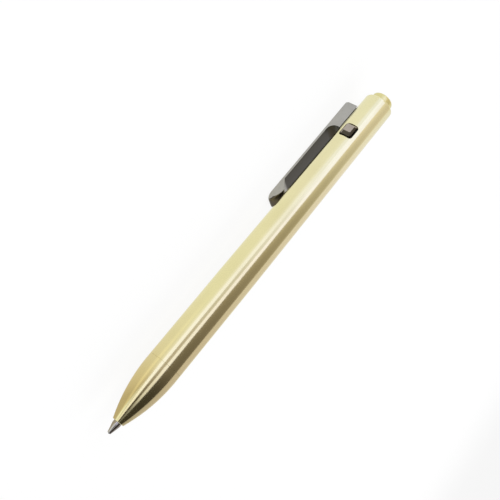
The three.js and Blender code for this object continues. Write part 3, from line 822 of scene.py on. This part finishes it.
def levels(tree, direction, stops):
    """A colour that changes along an axis of the scene. Stops are (place, colour), also beyond white."""
    place = tree.nodes.new("ShaderNodeTexCoord").outputs["Object"]
    split = tree.nodes.new("ShaderNodeSeparateXYZ")
    tree.links.new(place, split.inputs["Vector"])
    low = stops[0][0]
    high = stops[-1][0]
    along = tree.nodes.new("ShaderNodeMapRange")
    along.inputs["From Min"].default_value = low
    along.inputs["From Max"].default_value = high
    tree.links.new(split.outputs[direction], along.inputs["Value"])
    dimmed = [((x - low) / (high - low), [level / brightest for level in colour]) for x, colour in stops]
    return ramp(tree, along.outputs["Result"], dimmed)


def mixed(tree, kind, factor, first, second):
    mix = tree.nodes.new("ShaderNodeMix")
    mix.data_type = "RGBA"
    mix.blend_type = kind
    mix.inputs["Factor"].default_value = 1.0
    if factor:
        tree.links.new(factor, mix.inputs["Factor"])
    tree.links.new(first, mix.inputs["A"])
    tree.links.new(second, mix.inputs["B"])
    return mix.outputs["Result"]


def glow(tree, colour):
    light = tree.nodes.new("ShaderNodeEmission")
    light.inputs["Strength"].default_value = brightest
    tree.links.new(colour, light.inputs["Color"])
    return light.outputs["Emission"]


def dark_band(tree, direction, low, high, soft):
    """Dark between two places along one axis, and at full level outside them."""
    return levels(tree, direction, (
        (low, grey(brightest)), (low + soft, grey(painted_shadow_level)),
        (high - soft, grey(painted_shadow_level)), (high, grey(brightest)),
    ))


floor_material, tree, shader = start_material("floor")
shader.inputs["Roughness"].default_value = 1.0
shader.inputs["Specular IOR Level"].default_value = 0.0
# to the camera the floor mostly glows white, but under the clip it glows less and its colour is painted
# darker, a painted contact shadow
white = tree.nodes.new("ShaderNodeEmission")
white.inputs["Strength"].default_value = 1.0
share = tree.nodes.new("ShaderNodeMath")
share.operation = "MULTIPLY"
share.inputs[1].default_value = floor_glow
contact_along = dark_band(tree, "X", low=bump_x - 1 * mm, high=block_front + 6 * mm, soft=4 * mm)
contact_across = dark_band(tree, "Y", low=-8.5 * mm, high=0.5 * mm, soft=3.4 * mm)
painted_contact_shadow = mixed(tree, "LIGHTEN", None, contact_along, contact_across)
share_here = tree.nodes.new("ShaderNodeMath")
share_here.operation = "MULTIPLY"
tree.links.new(seen(tree, ("Is Camera Ray", "Is Transmission Ray")), share_here.inputs[0])
tree.links.new(painted_contact_shadow, share_here.inputs[1])
tree.links.new(share_here.outputs["Value"], share.inputs[0])
pale = tree.nodes.new("ShaderNodeRGB")
pale.outputs["Color"].default_value = (*grey(floor_tone), 1)
tree.links.new(mixed(tree, "MULTIPLY", None, pale.outputs["Color"], painted_contact_shadow), shader.inputs["Base Color"])
seen_floor = tree.nodes.new("ShaderNodeMixShader")
tree.links.new(share.outputs["Value"], seen_floor.inputs["Fac"])
tree.links.new(shader.outputs["BSDF"], seen_floor.inputs[1])
tree.links.new(white.outputs["Emission"], seen_floor.inputs[2])
# the metal mirrors it in other colours, near the pen and farther off, with a pale streak by the nose
reflected_floor = tree.nodes.new("ShaderNodeMixShader")
tree.links.new(seen(tree, ("Is Glossy Ray",)), reflected_floor.inputs["Fac"])
tree.links.new(seen_floor.outputs["Shader"], reflected_floor.inputs[1])
near_floor = levels(tree, "X", (
    (-0.082, (0.95, 0.97, 0.96)), (-0.0745, (0.86, 0.87, 0.84)), (-0.0695, (0.58, 0.49, 0.36)),
    (-0.06, (0.57, 0.48, 0.35)), (-0.053, (0.72, 0.63, 0.49)), (-0.037, (0.85, 0.815, 0.73)),
    (-0.015, (0.905, 0.905, 0.835)), (0.011, (0.92, 0.92, 0.88)), (0.038, (0.9, 0.9, 0.915)),
    (0.064, (0.935, 0.955, 1.0)),
))
streak_along = levels(tree, "X", (
    (-0.06, grey(brightest)), (-0.048, grey(brightest * 0.85)),
    (-0.034, grey(brightest * 0.5)), (-0.01, grey(0.0)),
))
streak_across = levels(tree, "Y", (
    (0.013, grey(0.0)), (0.0185, (0.2, 0.185, 0.13)), (0.0245, (0.19, 0.175, 0.125)), (0.032, grey(0.0)),
))
streak = mixed(tree, "MULTIPLY", None, streak_along, streak_across)
near_floor = mixed(tree, "ADD", None, near_floor, streak)
far_floor = levels(tree, "X", (
    (-0.3, (0.5, 0.42, 0.3)), (-0.11, (0.6, 0.52, 0.42)), (-0.075, (0.62, 0.53, 0.42)),
    (-0.055, (0.8, 0.72, 0.66)), (-0.03, (1.05, 1.03, 1.2)), (0.03, (1.12, 1.13, 1.42)),
    (0.09, (0.98, 1.0, 1.18)),
))
far_share = levels(tree, "Y", (
    (0.028, grey(0.0)), (0.05, grey(0.36)), (0.14, grey(1.0)), (0.4, grey(brightest)),
))
floor_colour = mixed(tree, "MIX", far_share, near_floor, far_floor)
tree.links.new(glow(tree, floor_colour), reflected_floor.inputs[2])
tree.links.new(reflected_floor.outputs["Shader"], tree.nodes["Material Output"].inputs["Surface"])
floor_mesh = bpy.data.meshes.new("floor")
floor_corners = [(floor_reach * x, floor_reach * y, 0) for x, y in ((-1, -1), (1, -1), (1, 1), (-1, 1))]
floor_mesh.from_pydata(floor_corners, [], [(0, 1, 2, 3)])
floor_mesh.materials.append(floor_material)
floor = bpy.data.objects.new("floor", floor_mesh)
bpy.context.collection.objects.link(floor)

world = bpy.data.worlds.new("studio")
bpy.context.scene.world = world
world.use_nodes = True
tree = world.node_tree
sky = tree.nodes["Background"]
sky.inputs["Color"].default_value = (1, 1, 1, 1)
level = tree.nodes.new("ShaderNodeMapRange")
level.inputs["To Min"].default_value = sky_light
level.inputs["To Max"].default_value = sky_seen
tree.links.new(seen(tree, rays_to_sight), level.inputs["Value"])
tree.links.new(level.outputs["Result"], sky.inputs["Strength"])


def soft_lamp(name, place, target, width, height, watts):
    """A soft box that lights the scene, but is not itself mirrored in the metal."""
    lamp = bpy.data.lights.new(name, "AREA")
    lamp.shape = "RECTANGLE"
    lamp.size = width
    lamp.size_y = height
    lamp.energy = watts
    holder = bpy.data.objects.new(name, lamp)
    bpy.context.collection.objects.link(holder)
    holder.location = place
    holder.rotation_euler = (Vector(target) - Vector(place)).to_track_quat("-Z", "Y").to_euler()
    holder.visible_glossy = False


soft_lamp("front lamp", (0.08, 0.45, 0.4), (0.02, 0, 0.008), width=1.2, height=0.6, watts=4.0)
soft_lamp("back lamp", (0.05, -0.5, 0.45), (0, 0, 0.008), width=1.0, height=0.6, watts=3.0)


def card(name, low, high, stops, across=None):
    """A card between two heights, as angles over the floor on the button's side. Stops are its levels along
    the pen, and across, where given, is the share of them that is left at each place across it."""
    material = bpy.data.materials.new(name)
    material.use_nodes = True
    tree = material.node_tree
    colour = levels(tree, "X", stops)
    if across:
        shares = [(y, grey(share * brightest)) for y, share in across]
        colour = mixed(tree, "MULTIPLY", None, colour, levels(tree, "Y", shares))
    tree.links.new(glow(tree, colour), tree.nodes["Material Output"].inputs["Surface"])
    corners = []
    for angle, ends in ((math.radians(low), card_ends), (math.radians(high), card_ends[::-1])):
        edge = axis + card_distance * Vector((0, math.cos(angle), math.sin(angle)))
        corners += [(x, edge.y, edge.z) for x in ends]
    shape = bpy.data.meshes.new(name)
    shape.from_pydata(corners, [], [(0, 1, 2, 3)])
    shape.materials.append(material)
    made = bpy.data.objects.new(name, shape)
    bpy.context.collection.objects.link(made)
    made.visible_camera = False
    made.visible_diffuse = False
    made.visible_shadow = False
    made.visible_transmission = False


card("low white card", 0, 18, (
    (-0.3, (1.0, 0.97, 0.98)), (-0.2, (1.12, 1.07, 1.12)), (-0.1, (1.15, 1.15, 1.44)),
    (0.044, (1.12, 1.14, 1.48)), (0.102, (1.08, 1.1, 1.4)), (0.162, (0.98, 1.01, 1.28)),
    (0.22, (1.0, 1.06, 1.38)),
))
card("grey card", 18, 35, (
    (-0.3, (0.05, 0.04, 0.035)), (-0.22, (0.08, 0.065, 0.05)), (-0.153, (0.15, 0.125, 0.09)),
    (-0.095, (0.33, 0.28, 0.24)), (-0.004, (0.53, 0.46, 0.44)), (0.044, (0.69, 0.66, 0.68)),
    (0.102, (0.86, 0.85, 1.0)), (0.162, (1.12, 1.17, 1.68)), (0.22, (1.14, 1.2, 1.76)),
))
card("high white card", 35, 53, (
    (-0.3, (0.16, 0.15, 0.14)), (-0.215, (0.32, 0.3, 0.3)), (-0.18, (0.7, 0.67, 0.73)),
    (-0.153, (0.84, 0.8, 0.88)), (-0.095, (0.95, 0.9, 1.02)), (-0.004, (1.08, 1.06, 1.32)),
    (0.044, (1.11, 1.08, 1.42)), (0.102, (1.14, 1.13, 1.58)), (0.162, (1.12, 1.17, 1.71)),
    (0.22, (1.14, 1.19, 1.76)), (0.35, (0.85, 0.8, 0.7)),
))
card("dark card", 53, 118, (
    (-0.3, (0.048, 0.042, 0.03)), (-0.153, (0.058, 0.049, 0.037)), (-0.095, (0.075, 0.063, 0.05)),
    (-0.06, (0.125, 0.103, 0.086)), (-0.004, (0.212, 0.175, 0.144)), (0.044, (0.355, 0.3, 0.25)),
    (0.102, (0.505, 0.44, 0.35)), (0.162, (0.73, 0.675, 0.62)), (0.22, (0.97, 0.9, 0.89)),
    (0.35, (0.84, 0.78, 0.65)),
), across=((-0.14, 0.9), (-0.09, 0.82), (-0.03, 0.8), (0.03, 0.84), (0.075, 0.88), (0.12, 0.94), (0.18, 1.0)))
card("back card", 118, 178, (
    (-0.22, (0.42, 0.38, 0.37)), (-0.153, (0.48, 0.43, 0.42)), (-0.095, (0.56, 0.49, 0.48)),
    (-0.004, (0.65, 0.57, 0.56)), (0.044, (0.71, 0.645, 0.645)), (0.102, (0.8, 0.74, 0.78)),
    (0.162, (0.905, 0.865, 0.98)), (0.22, (0.91, 0.93, 1.03)), (0.35, (0.82, 0.77, 0.66)),
))

# Camera: over the nose and to the button's side, turned so that the pen runs from corner to corner. Its place
# and its lens were fitted to the photo.
camera_place = (-0.06383, 0.20184, 0.11662)
camera_turn = (-44.871, -49.2335, -19.755)
camera_data = bpy.data.cameras.new("camera")
camera_data.sensor_width = 36
camera_data.lens = 56.07
camera_data.clip_start = 0.01
camera_data.clip_end = 20
camera = bpy.data.objects.new("camera", camera_data)
bpy.context.collection.objects.link(camera)
camera.location = camera_place
camera.rotation_euler = [math.radians(angle) for angle in camera_turn]
bpy.context.scene.camera = camera
bpy.context.scene.view_settings.view_transform = "Standard"
